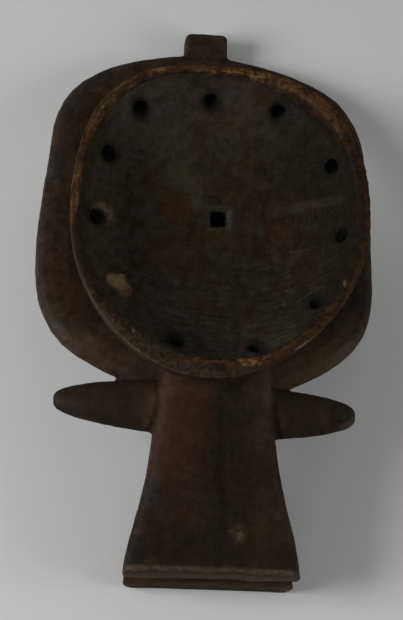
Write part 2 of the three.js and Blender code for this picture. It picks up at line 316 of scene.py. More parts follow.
class Value:
    """A number that changes from place to place; arithmetic on it adds Math nodes."""

    def __init__(self, bench, socket):
        self.bench = bench
        self.socket = socket

    def with_(self, operation, *others):
        node = self.bench.node("ShaderNodeMath", {"operation": operation}, {0: self})
        for place, other in enumerate(others, 1):
            self.bench.feed(node.inputs[place], other)
        return Value(self.bench, node.outputs[0])

    def __add__(self, other):
        return self.with_("ADD", other)

    __radd__ = __add__

    def __mul__(self, other):
        return self.with_("MULTIPLY", other)

    __rmul__ = __mul__

    def __sub__(self, other):
        return self.with_("SUBTRACT", other)

    def __rsub__(self, other):
        return (self * -1.0).with_("ADD", other)

    def __truediv__(self, other):
        return self.with_("DIVIDE", other)

    def least(self, other):
        return self.with_("MINIMUM", other)

    def most(self, other):
        return self.with_("MAXIMUM", other)

    def size(self):
        """The value without its sign."""
        return self.with_("ABSOLUTE")

    def ease(self, low, high):
        """0 before low, 1 after high and smooth between; low may be the greater."""
        flip = low > high
        if flip:
            low, high = high, low
        node = self.bench.node(
            "ShaderNodeMapRange",
            {"interpolation_type": "SMOOTHSTEP", "clamp": True},
            {"Value": self, "From Min": low, "From Max": high},
        )
        eased = Value(self.bench, node.outputs["Result"])
        return 1 - eased if flip else eased

    def ease_mm(self, low, high):
        """The same, with low and high in millimetres."""
        return self.ease(low * MM, high * MM)

    def hump(self, spread, none=1.0, full=0.2):
        """1 near the value 0; the square of the value over spread is eased from none to full."""
        scaled = self * (1 / spread)
        return (scaled * scaled).ease(none, full)


def hypotenuse(across, along):
    """The length of a way that goes so far across and so far along."""
    return (across * across + along * along).with_("SQRT")


class Bench:
    """Adds nodes to one tree, of a material or of geometry."""

    def __init__(self, tree):
        self.tree = tree

    def feed(self, socket, value):
        """Gives a socket its link or its number."""
        if isinstance(value, Value):
            value = value.socket
        if isinstance(value, bpy.types.NodeSocket):
            self.tree.links.new(value, socket)
        elif socket.type == "RGBA" and len(value) == 3:
            socket.default_value = (*value, 1.0)
        else:
            socket.default_value = value

    def node(self, kind, settings=None, inputs=None):
        """One node: its type, then its settings, then what its sockets get."""
        node = self.tree.nodes.new(kind)
        for name, setting in (settings or {}).items():
            setattr(node, name, setting)
        for key, value in (inputs or {}).items():
            self.feed(node.inputs[key], value)
        return node

    def vector(self, operation, *inputs):
        node = self.node("ShaderNodeVectorMath", {"operation": operation}, dict(enumerate(inputs)))
        return node.outputs[1 if operation in ("LENGTH", "DISTANCE", "DOT_PRODUCT") else 0]

    def scaled(self, vector, times):
        """A vector or a colour, times one number."""
        node = self.node("ShaderNodeVectorMath", {"operation": "SCALE"}, {0: vector, "Scale": times})
        return node.outputs[0]

    def turned(self, axis, vector, angle):
        """A place turned round one axis, such as X_AXIS."""
        settings = {"rotation_type": axis}
        return self.node("ShaderNodeVectorRotate", settings, {"Vector": vector, "Angle": angle}).outputs[0]

    def axes(self, vector):
        node = self.node("ShaderNodeSeparateXYZ", inputs={0: vector})
        return [Value(self, socket) for socket in node.outputs]

    def joined(self, *axes):
        return self.node("ShaderNodeCombineXYZ", inputs=dict(enumerate(axes))).outputs[0]

    def counted(self, place, size, stretch):
        """A place counted in lumps of a size, longer where stretch is more than 1."""
        return self.vector("MULTIPLY", place, tuple(1 / (size * more) for more in stretch))

    def noise(self, place, size, detail=3.0, roughness=0.55, stretch=(1, 1, 1), shift=0.0):
        """Soft noise whose lumps are about size across."""
        moved = self.vector("ADD", self.counted(place, size, stretch), (shift, 1.7 * shift, -2.3 * shift))
        node = self.node(
            "ShaderNodeTexNoise",
            {"noise_dimensions": "3D"},
            {"Vector": moved, "Scale": 1.0, "Detail": detail, "Roughness": roughness},
        )
        return Value(self, node.outputs[0])

    def cells(self, place, smooth=0.0):
        """Distance to the nearest of scattered points, smoothed where two are as near."""
        settings = {"voronoi_dimensions": "3D", "feature": "SMOOTH_F1" if smooth else "F1"}
        node = self.node("ShaderNodeTexVoronoi", settings, {"Vector": place, "Scale": 1.0})
        if smooth:
            node.inputs["Smoothness"].default_value = smooth
        return Value(self, node.outputs["Distance"])

    def blend(self, first, second, share):
        node = self.node("ShaderNodeMix", {"data_type": "RGBA"}, {0: share, 6: first, 7: second})
        return node.outputs[2]

    def tinted(self, colour, factors):
        """A colour with each of its channels times a number."""
        return self.vector("MULTIPLY", colour, factors)

    def spot(self, place, middle, reach, ragged=None, soft=0.35):
        """1 in an ellipsoid round a point given in millimetres, 0 outside, with a ragged edge."""
        shifted = self.vector("SUBTRACT", place, tuple(value * MM for value in middle))
        scaled = self.vector("MULTIPLY", shifted, tuple(1 / (value * MM) for value in reach))
        away = Value(self, self.vector("LENGTH", scaled))
        if ragged is not None:
            away = away + ragged
        return away.ease(1 + soft, 1 - soft)


def length(name, description, default, **limits):
    """A size in metres that a user may change."""
    return bpy.props.FloatProperty(
        name=name, description=description, default=default, precision=5, unit="LENGTH", **limits)


def paint(name, description, default):
    """A colour that a user may change."""
    return bpy.props.FloatVectorProperty(
        name=name, description=description, default=default, subtype="COLOR", size=3, min=0, max=1)


def amount(name, description, default, **limits):
    """A plain number that a user may change."""
    return bpy.props.FloatProperty(name=name, description=description, default=default, min=0, **limits)


class CarvingSizes(bpy.types.PropertyGroup):
    """Sizes of the fine carving."""

    fineness: length(
        "Fineness", "Size of the facets the carving is first remeshed to", 1.15 * MM,
        min=0.8 * MM, max=4 * MM)
    triangles: bpy.props.IntProperty(
        name="Triangles", description="Most triangles kept on the finished mesh", default=194000, min=20000)
    softening: bpy.props.IntProperty(
        name="Softening", description="How often the arrises are smoothed by handling", default=5, min=0)
    adze_depth: length("Adze mark depth", "Hollow of one adze mark on the outside", 0.35 * MM)
    adze_breadth: length("Adze mark breadth", "Breadth of one adze mark", 11 * MM)
    gouge_depth: length("Gouge mark depth", "Hollow of one gouge mark in the dish", 0.32 * MM)
    gouge_spacing: length("Gouge mark spacing", "Distance from one gouge mark to the next", 3.4 * MM)
    unevenness: length("Unevenness", "How far the hand-cut faces wander from true", 0.6 * MM)
    lip_wear: length("Lip wear", "How far the inner arris of the lip is worn down", 0.6 * MM)
    groove_depth: length(
        "Muzzle groove depth", "Depth of the groove along the underside of the muzzle", 0.8 * MM)


class PatinaColours(bpy.types.PropertyGroup):
    """Colours of the wood and its patina."""

    patina: paint("Patina", "Dark brown surface of the muzzle and ears", (0.018, 0.0111, 0.0066))
    dust: paint("Dust", "Grey-brown dust rubbed into the horns", (0.0335, 0.0242, 0.016))
    pale_dust: paint("Pale dust", "Palest dust, in scratches and on arrises", (0.056, 0.046, 0.0335))
    red_wood: paint("Red wood", "Reddish wood where the patina is thin", (0.04, 0.015, 0.0088))
    # Also the colour of the painted shade on the horns and in the beds of the gouge marks.
    grime_and_shade: paint("Soot", "Blackish stain and grime in hollows", (0.0085, 0.0064, 0.0042))
    hole: paint("Hole", "Greenish black grime inside the holes", (0.008, 0.0088, 0.0045))
    stain: paint("Stain", "Rusty brown stains inside the cap", (0.042, 0.02, 0.01))
    # The colour of painted highlights: the glint on the lip's outer arris and the glint flecks on the lip
    # in front.
    painted_glint: paint("Glint", "Brightest rubbed spot of the lip's outer arris", (0.26, 0.215, 0.16))
    # Also the colour of the painted light on the horns and of the painted highlight along the lip's outer
    # arris.
    handled: paint("Handled arris", "Light brown where hands rub the arrises", (0.062, 0.0425, 0.028))
    dish: paint("Dish", "Brown inside of the cap", (0.021, 0.0125, 0.0064))
    film: paint("Film", "Grey film over the inside of the cap", (0.0315, 0.026, 0.019))
    lip_shade: paint("Lip in shade", "Dark brown of the lip where it isn't rubbed", (0.019, 0.0115, 0.0056))
    rubbed: paint("Rubbed lip", "Orange-brown wood where the lip is rubbed", (0.068, 0.0315, 0.0115))
    golden: paint("Golden flecks", "Brightest flecks of the rubbed lip", (0.135, 0.0815, 0.029))
    bare: paint("Bare wood", "Pale wood in chips", (0.15, 0.108, 0.054))


class StageSettings(bpy.types.PropertyGroup):
    """Floor and light."""

    floor_shade: amount("Floor shade", "How pale the floor is", 0.66, max=1, subtype="FACTOR")
    key_power: amount("Key light", "Power of the soft light at the left, in watts", 31.0)
    side_power: amount("Side light", "Power of the weaker soft light at the right, in watts", 10.0)
    fill: amount("Fill light", "Strength of the light from all round", 0.195)


def neighbours_mean(points, edges, counts):
    """The mean of the points each point is joined to."""
    total = np.zeros_like(points)
    for axis in range(3):
        total[:, axis] += np.bincount(edges[:, 0], points[edges[:, 1], axis], len(points))
        total[:, axis] += np.bincount(edges[:, 1], points[edges[:, 0], axis], len(points))
    return total / counts[:, None]


def edges_of(mesh):
    """Pairs of joined points, and how many others each point is joined to."""
    edges = np.zeros(len(mesh.edges) * 2, np.int32)
    mesh.edges.foreach_get("vertices", edges)
    edges = edges.reshape(-1, 2)
    counts = np.bincount(edges.ravel(), minlength=len(mesh.vertices)).astype(float)
    return edges, np.maximum(counts, 1)


def points_of(mesh):
    points = np.zeros(len(mesh.vertices) * 3)
    mesh.vertices.foreach_get("co", points)
    return points.reshape(-1, 3)


def normals_of(mesh):
    normals = np.zeros(len(mesh.vertices) * 3, np.float32)
    mesh.vertex_normals.foreach_get("vector", normals)
    return normals.reshape(-1, 3).astype(float)


def set_points(mesh, points):
    mesh.vertices.foreach_set("co", points.astype(np.float32).ravel())
    mesh.update()


def set_mask(mesh, name, values):
    """Keeps one number for each point under a name that nodes can read."""
    layer = mesh.attributes.get(name) or mesh.attributes.new(name, "FLOAT", "POINT")
    layer.data.foreach_set("value", values.astype(np.float32))


def soften(mesh, passes):
    """Rounds the arrises as handling does, and swells back each time so that the form keeps its size."""
    edges, counts = edges_of(mesh)
    points = points_of(mesh)
    for _ in range(passes):
        for step in SOFTENING_STEPS:
            points += step * (neighbours_mean(points, edges, counts) - points)
    set_points(mesh, points)


def evaluated(work):
    """The object's mesh with its modifiers applied; the modifiers are then removed."""
    graph = bpy.context.evaluated_depsgraph_get()
    mesh = bpy.data.meshes.new_from_object(work.evaluated_get(graph), depsgraph=graph)
    work.modifiers.clear()
    old = work.data
    work.data = mesh
    bpy.data.meshes.remove(old)
    return mesh


def mark_regions(mesh):
    """Masks that tell the lip, the dish, the holes and the outside apart, and the measures they rest on."""
    own = own_frame(points_of(mesh))
    normals = normals_of(mesh) @ np.array(LYING)
    height = own[:, 2]
    inside = beyond(LIP_INSIDE, own)
    outside = -beyond(LIP_OUTSIDE, own)
    across = inside / np.maximum(inside + outside, 1 * MM)
    lip = ease_mm(-4.5, -0.8, height) * ease_mm(-2.0, 0.2, inside)
    lip *= ease_mm(-1.5, 0.3, outside) * ease(0.3, 0.62, normals[:, 2])
    hollow = ease_mm(1.0, -0.8, inside) * ease(-0.05, 0.25, normals[:, 2])
    hollow *= ease_mm(-48, -42, height) * (1 - lip)
    bore = np.zeros(len(own))
    halos = np.zeros(len(own))
    for away, along, off in cord_hole_distances(own):
        inner = ease_mm(5.4, 3.4, off) * ease_mm(-2.2, 1.6, along)
        bore = np.maximum(bore, inner * ease(CORD_HOLE_LENGTH, CORD_HOLE_LENGTH - 2 * MM, along))
        halos = np.maximum(halos, ease_mm(9.6, 4.4, np.hypot(away[:, 0], away[:, 1])))
    off = crown_hole_distance(own)
    square = ease(CROWN_HOLE_SIDE / 2 + 0.9 * MM, CROWN_HOLE_SIDE / 2 + 0.3 * MM, off)
    bore = np.maximum(bore, square * ease_mm(-36.5, -39.0, height))
    crown_mouth = ease_mm(9.5, 5.5, off) * ease_mm(-45, -38, height)
    masks = {
        "lip": lip, "across": np.clip(across, -1, 2), "hollow": hollow, "bore": bore,
        "mouths": crown_mouth * (1 - bore), "halos": halos * hollow}
    for name, values in masks.items():
        set_mask(mesh, name, values)
    return own, normals, inside, outside, across


def mark_wear(mesh):
    """Masks of the arrises that hands rub pale and of the hollows that hold grime."""
    edges, counts = edges_of(mesh)
    points = points_of(mesh)
    bend = -np.einsum("ij,ij->i", neighbours_mean(points, edges, counts) - points, normals_of(mesh))
    for _ in range(WEAR_SPREADING):
        spread = np.bincount(edges[:, 0], bend[edges[:, 1]], len(bend))
        spread += np.bincount(edges[:, 1], bend[edges[:, 0]], len(bend))
        bend = 0.5 * bend + 0.5 * spread / counts
    set_mask(mesh, "worn", ease_mm(0.012, 0.075, bend))
    set_mask(mesh, "sunk", ease_mm(-0.01, -0.06, bend))


def dent(points, normals, own, middle, reach, depth, rough=0.0):
    """Presses a shallow hollow into the surface round a point of the own frame."""
    off = np.linalg.norm((own - np.array(middle)) / np.array(reach), axis=1)
    if rough:
        first, second = (own @ np.array(wave) for wave in DENT_WAVES)
        off = off + rough * (np.sin(first) * np.sin(second + 1))
    near = off < 1
    weight = (1 - off[near] ** 2) ** 1.5
    points[near] -= normals[near] * (depth * weight)[:, None]


def rub_down(mesh, points, share):
    """Rounds the surface over where the share is 1."""
    edges, counts = edges_of(mesh)
    for _ in range(RUBBING_PASSES):
        points += (RUBBING * share)[:, None] * (neighbours_mean(points, edges, counts) - points)


def hollow_groove(points, normals, own, tilt, depth):
    """The groove along the muzzle's underside, which falls away from it to both sides."""
    half = np.interp(own[:, 1], MUZZLE_STATIONS, MUZZLE_HALF_WIDTHS)
    aside = abs(own[:, 0] - MUZZLE_DRIFT)
    under = ease(0.1, 0.5, tilt) * ease_mm(-98, -112, own[:, 1]) * ease_mm(3, -1, aside - half)
    beside = beside_groove(own[:, 0], own[:, 1])
    groove = np.exp(-(beside / GROOVE_BREADTH) ** 2) * ease_mm(-196, -165, own[:, 1])
    points -= normals * (depth * groove * under)[:, None]
    roof = np.minimum(aside / half, 1.1) ** 2
    points -= normals * (MUZZLE_ROUNDING * roof * under)[:, None]


def chip_arrises(points, normals, own):
    """Small chips round both edges of the lip and along the end of the lower jaw."""
    chance = np.random.default_rng(CHIP_SEED)
    for _ in range(LIP_CHIPS):
        angle = chance.uniform(0, TURN)
        outer = chance.uniform() < OUTER_CHIPS
        edge = LIP_OUTSIDE if outer else LIP_INSIDE
        radius = radius_of(edge, angle)
        x, y = edge["centre"]
        middle = (x + radius * cos(angle), y + radius * sin(angle), -0.3 * MM)
        size = chance.uniform(*LIP_CHIP_SIZES) * MM
        deep = size * chance.uniform(*LIP_CHIP_DEPTHS) * (0.5 if outer else 1.0)
        dent(points, normals, own, middle, (size, size, size), deep)
    for _ in range(JAW_CHIPS):
        middle = np.array([chance.uniform(*JAW_END[axis]) for axis in range(3)]) * MM
        size = chance.uniform(*JAW_CHIP_SIZES) * MM
        deep = size * chance.uniform(*JAW_CHIP_DEPTHS)
        dent(points, normals, own, middle, (size * 1.6, size, size), deep)


def wear_by_hand(mesh, sizes):
    """Worn lip, hole mouths, dents, the muzzle's groove, chips, and the notch and nicks of one ear."""
    own, normals_own, inside, outside, across = mark_regions(mesh)
    height = own[:, 2]
    points = points_of(mesh)
    normals = normals_of(mesh)

    def press(middle, reach, depth, rough=0.0):
        dent(points, normals, own, np.array(middle) * MM, np.array(reach) * MM, depth * MM, rough)

    up = np.array(LYING) @ np.array((0, 0, 1.0))
    near_lip = ease_mm(-7, -0.5, height) * ease_mm(-5, -1, inside)
    points -= up * (sizes.lip_wear * near_lip * ease(0.5, -0.1, across) * (outside > 0))[:, None]
    near_rim = ease_mm(-7, -0.5, height) * ease_mm(-4, 0, outside)
    points -= up * (RIM_SINK * facing(own, -118, 75, 40) * near_rim * ease(0.45, 1.05, across))[:, None]
    for _, along, off in cord_hole_distances(own):
        flare = ease_mm(8.5, 4.2, off) * ease_mm(7, 1, abs(along))
        points -= normals * (CORD_MOUTH_DEPTH * flare)[:, None]
    flare = ease_mm(9, 5, crown_hole_distance(own)) * ease_mm(-41, -36, height) * (normals_own[:, 2] > -0.3)
    points -= normals * (CROWN_MOUTH_DEPTH * flare)[:, None]
    for place in DISH_DENTS:
        press(*place)
    hollow_groove(points, normals, own, normals_own[:, 2], sizes.groove_depth)
    chip_arrises(points, normals, own)
    press(*EAR_NOTCH)
    for step in range(EAR_NICKS):
        press(EAR_NICK_FIRST + step * EAR_NICK_STEP, EAR_NICK_REACH, EAR_NICK_DEPTH)

    handled = np.maximum(facing(own, -138, 55, 30), facing(own, 0, 70, 40) * 0.7)
    handled = handled * ease(-1.3, -0.4, across) * ease(0.8, 0.45, across) * ease_mm(-16, -9, height)
    rub_down(mesh, points, handled)
    set_points(mesh, points)


def relief_tree(wood):
    """Geometry nodes that hollow the surface with adze marks outside and gouge marks in the dish."""
    tree = bpy.data.node_groups.new("hand carving", "GeometryNodeTree")
    tree.interface.new_socket(name="Wood", in_out="INPUT", socket_type="NodeSocketGeometry")
    for name in RELIEF_INPUTS:
        tree.interface.new_socket(name=name, in_out="INPUT", socket_type="NodeSocketFloat")
    tree.interface.new_socket(name="Carving", in_out="OUTPUT", socket_type="NodeSocketGeometry")
    bench = Bench(tree)
    given = bench.node("NodeGroupInput")
    adze_depth, adze_breadth, adze_length, gouge_depth, gouge_spacing, unevenness, seed = (
        Value(bench, given.outputs[name]) for name in RELIEF_INPUTS)

    position = bench.node("GeometryNodeInputPosition").outputs[0]
    moved = bench.vector("SUBTRACT", position, tuple(LIP_CENTRE))
    own = bench.turned("X_AXIS", moved, -LYING_PITCH)
    x, y, z = bench.axes(own)
    hollow, lip, bore = (
        Value(bench, bench.node(
            "GeometryNodeInputNamedAttribute", {"data_type": "FLOAT"}, {"Name": name}).outputs["Attribute"])
        for name in ("hollow", "lip", "bore"))
    outside = (1 - hollow) * (1 - lip) * (1 - bore)

    marks = bench.joined(x / adze_breadth, y / adze_length, z / adze_breadth)
    marks = bench.vector("ADD", marks, bench.joined(seed, seed * 2, seed * 3))
    warp = bench.noise(own, 30 * MM, 1.0)
    marks = bench.vector("ADD", marks, bench.joined(warp, warp * -1.0, warp))
    off = bench.cells(marks, 0.12)
    fresh = bench.noise(own, 38 * MM, 1.0, shift=4.0).ease(0.38, 0.62)
    depth = ((off * off * 2.2).least(1.0) - 1.0) * adze_depth * outside * (0.35 + 0.65 * fresh)

    ring = hypotenuse(x, y - GOUGE_CENTRE_Y)
    wander = bench.noise(own, 14 * MM, 2.0, shift=2.0)
    arcs = ((ring / gouge_spacing + wander * 1.3) * TURN).with_("SINE") * 0.5 - 0.5
    upright = (x + y * GOUGE_SLANT) / (gouge_spacing * 0.8) + wander * 1.1
    upright = (upright * TURN).with_("SINE") * 0.5 - 0.5
    low = y.ease_mm(-20, -48)
    right = bench.spot(own, (66, 2, -22), (26, 26, 40))
    patchy = bench.noise(own, 22 * MM, 2.0, shift=6.0).ease(0.35, 0.6)
    off = bench.cells(bench.counted(own, 15 * MM, (1.6, 0.75, 1.6)))
    scoops = (off * off * 2.0).least(1.0) - 1.0
    depth = depth + arcs * gouge_depth * hollow * low * patchy
    depth = depth + upright * gouge_depth * 0.7 * hollow * right
    depth = depth + scoops * gouge_depth * 0.9 * hollow * (1 - low * 0.6)
    rise = bench.noise(own, 34 * MM, 2.0, shift=9.0).ease(0.3, 0.75) - 1.0
    depth = depth + rise * unevenness * (1 - bore) * (1 - lip * 0.7)

    # The worn flats that the mask lies on stay flat.
    depth = depth * bench.axes(position)[2].ease_mm(0.8, 5)
    normal = bench.node("GeometryNodeInputNormal").outputs[0]
    pressed = bench.node("GeometryNodeSetPosition", inputs={
        "Geometry": given.outputs["Wood"], "Offset": bench.scaled(normal, depth)})
    whole = bench.node("GeometryNodeRealizeInstances", inputs={0: pressed.outputs[0]})
    dressed = bench.node("GeometryNodeSetMaterial", inputs={"Geometry": whole.outputs[0], "Material": wood})
    bench.node("NodeGroupOutput", inputs={0: dressed.outputs[0]})
    return tree


class Surface:
    """What the layers of the finish share: places, masks and noises of one material."""

    def __init__(self, bench):
        self.bench = bench
        plain = bench.node("ShaderNodeTexCoord").outputs["Object"]
        self.own = own = bench.node("ShaderNodeMapping", {"vector_type": "TEXTURE"}, {
            "Vector": plain, "Location": tuple(LIP_CENTRE), "Rotation": (LYING_PITCH, 0, 0)}).outputs[0]
        self.x, self.y, self.z = bench.axes(own)
        self.radius = hypotenuse(self.x, self.y)
        self.flat = bench.vector("MULTIPLY", own, (1, 1, 0))
        self.lip, self.across, self.hollow, self.bore, self.mouths, self.halos, self.worn, self.sunk = (
            Value(bench, bench.node("ShaderNodeAttribute", {"attribute_name": name}).outputs["Fac"])
            for name in ("lip", "across", "hollow", "bore", "mouths", "halos", "worn", "sunk"))
        self.fleck = bench.noise(own, 1.5 * MM, 2.0, 0.6, shift=11.0)
        self.grit = bench.noise(own, 3.2 * MM, 3.0, 0.65, shift=17.0)
        self.mottle = bench.noise(own, 7 * MM, 5.0, 0.65, shift=5.0)
        self.tint = bench.noise(own, 11 * MM, 2.0, 0.6, shift=41.0)
        self.clouds = bench.noise(own, 16 * MM, 4.0, 0.6, shift=14.0)
        self.blotch = bench.noise(own, 38 * MM, 3.0, 0.5, shift=8.0)
        self.grain = bench.noise(own, 1.3 * MM, 3.0, 0.6, (1, 16, 1))
        along_lip = bench.joined(self.across * (9 * MM), self.x * 0.18, self.y * 0.18)
        self.streaks = bench.noise(along_lip, 2.4 * MM, 3.0, 0.6, shift=45.0)
        self.ragged = (self.mottle - 0.5) * 0.9

    def facing(self, degrees, reach):
        """1 on the side of the cap that looks one way, 0 past reach degrees from it."""
        turned = self.x * cos(radians(degrees)) + self.y * sin(radians(degrees))
        return (turned / (self.radius + 1 * MM)).ease(cos(radians(reach)), cos(radians(reach * 0.3)))

    def torn_across(self, rough):
        """The place across the lip, 0 at its inner edge and 1 at its outer, unevenly shifted."""
        return self.across + self.ragged * rough

    def band(self, middle, spread):
        """1 along one line across the lip, 0 past spread from it."""
        return (self.torn_across(0.4) + (self.tint - 0.5) * 0.9 - middle).hump(spread, 1.0, 0.0)

    def outer_arris(self, middle, spread):
        """1 along a thin line near the lip's outer edge."""
        return (self.across - middle).hump(spread) * self.z.ease_mm(-4.5, -2.5)

    def spot(self, middle, reach, rough=1.0, soft=0.5):
        """1 in an ellipsoid with a ragged edge, its middle and reach in millimetres."""
        return self.bench.spot(self.own, middle, reach, self.ragged * rough, soft)

    def scratches(self, stretch, degrees, shift):
        """Thin short lines that run one way."""
        turned = self.bench.turned("Z_AXIS", self.own, radians(degrees))
        return self.bench.noise(turned, SCRATCH_BREADTH, 1.0, 0.5, (1, stretch, 3), shift).ease(0.62, 0.78)

    def stroke(self, start, end, width):
        """One scratch or smear between two points given in millimetres, seen from above."""
        bench = self.bench
        way = Vector((end[0] - start[0], end[1] - start[1], 0)) * MM
        shifted = bench.vector("SUBTRACT", self.flat, (start[0] * MM, start[1] * MM, 0))
        along = Value(bench, bench.vector("DOT_PRODUCT", shifted, tuple(way / way.length_squared)))
        reached = bench.scaled(tuple(way), along.most(0.0).least(1.0))
        away = Value(bench, bench.vector("DISTANCE", shifted, reached))
        return (away * (1 / (width * MM)) + self.ragged * 0.8).ease(1.0, 0.4)


class Coat:
    """One colour of the surface, as paints go over it one after another."""

    def __init__(self, surface, colour):
        self.surface = surface
        self.colour = colour

    def add(self, paint, share):
        self.colour = self.surface.bench.blend(self.colour, paint, share)

    def add_spots(self, paint, places):
        for middle, reach, share in places:
            self.add(paint, self.surface.spot(middle, reach, 1.2, 0.6) * share)

    def tint(self, factors, share):
        """Changes the red, green and blue of what is there."""
        self.add(self.surface.bench.tinted(self.colour, factors), share)


def patina_layer(surface, colours):
    """Horns, ears and muzzle: dark brown patina under dust, reddish where it is rubbed through."""
    bench = surface.bench
    x, y, z = surface.x, surface.y, surface.z
    mottle = surface.mottle
    coat = Coat(surface, colours.patina)
    dusty = mottle.ease(0.38, 0.62) * 0.6 + surface.clouds.ease(0.36, 0.64) * 0.4
    on_horns = y.ease_mm(-112, -96)
    coat.add(colours.dust, dusty * (0.25 + 0.35 * on_horns))
    coat.add(colours.red_wood, surface.blotch.ease(0.46, 0.66) * 0.35)
    coat.add(colours.grime_and_shade, surface.clouds.ease(0.44, 0.26) * 0.5)
    # Painted light: paler spots on the horns in the olive handled colour, and painted shade at their right.
    coat.add_spots(bench.tinted(colours.handled, OLIVE_PAINTED_LIGHT), HORN_PAINTED_LIGHT)
    coat.add_spots(colours.grime_and_shade, HORN_SHADE)

    on_ears = x.size().ease_mm(38, 48) * y.ease_mm(-88, -97)
    coat.add(colours.grime_and_shade, on_ears * (0.34 + 0.3 * mottle))
    hook = Value(bench, 0.0)
    for start, end, width in EAR_HOOK:
        hook = hook.most(surface.stroke(start, end, width))
    coat.add(colours.grime_and_shade, hook * 0.4)

    # The muzzle's underside is reddish along its left and stained blackish along its middle and right.
    coat.add(colours.red_wood, surface.spot((-24, -122, -44), (21, 40, 24), 0.6) * 0.5)
    edges = surface.spot((28, -112, -44), (9, 24, 24), 0.6)
    edges = edges.most(surface.spot((-34, -112, -46), (4, 20, 24), 0.4) * 0.6)
    coat.add(colours.handled, edges * 0.38)
    coat.add(colours.grime_and_shade, surface.spot((13, -146, -50), (17, 60, 26), 0.8, 0.45) * 0.5)
    coat.add(colours.grime_and_shade, surface.spot((20, -112, -46), (12, 11, 20), 0.8) * 0.4)
    groove = beside_groove(x, y).hump(GROOVE_STAIN, 1.8, 0.1) * z.ease_mm(-75, -66)
    coat.add(colours.grime_and_shade, groove * y.ease_mm(-196, -170) * y.ease_mm(-98, -114) * 0.7)
    coat.add_spots(colours.grime_and_shade, MUZZLE_SHADE)
    coat.add_spots(colours.handled, MUZZLE_RUB)

    # Hands have rubbed the arrises, most of all the lower jaw's end and the muzzle's right edge.
    jaw_end = y.ease_mm(-209, -211.5) * z.ease_mm(-79, -75)
    coat.add(colours.handled, jaw_end * (0.8 + 0.4 * mottle).least(1.0))
    low_line = (z + 66.8 * MM + surface.ragged * (1.6 * MM)).hump(2.3 * MM)
    coat.add(colours.grime_and_shade, low_line * y.ease_mm(-207, -210) * 0.52)
    right_edge = x.ease_mm(24, 34) * y.ease_mm(-100, -112)
    rubbed = surface.worn * z.ease_mm(-4, -9) * mottle.ease(0.28, 0.5)
    rubbed = rubbed * (0.3 + 0.6 * right_edge - 0.24 * on_ears)
    coat.add(colours.handled, rubbed.least(1.0))
    speckled = surface.spot((18.8, -189.5, -58), (5.0, 5.5, 14), 1.2, 0.6)
    coat.add(colours.bare, speckled * (0.08 + 0.22 * surface.grit.ease(0.4, 0.62)))
    jaw_arris = z.ease_mm(-66.5, -64.5) * y.ease_mm(-204, -208.5) * surface.worn.ease(0.1, 0.6)
    flecks = jaw_arris * surface.fleck.ease(0.5, 0.6) * (0.08 + 0.5 * x.ease_mm(0, 40))
    coat.add(bench.scaled(colours.pale_dust, 1.8), flecks)
    upper_jaw = y.ease_mm(-203, -208) * z.ease_mm(-79, -84)
    coat.add(bench.tinted(colours.handled, REDDER_HANDLED), upper_jaw * 0.42)
    coat.add_spots(colours.bare, OUTSIDE_CHIPS)
    return coat.colour


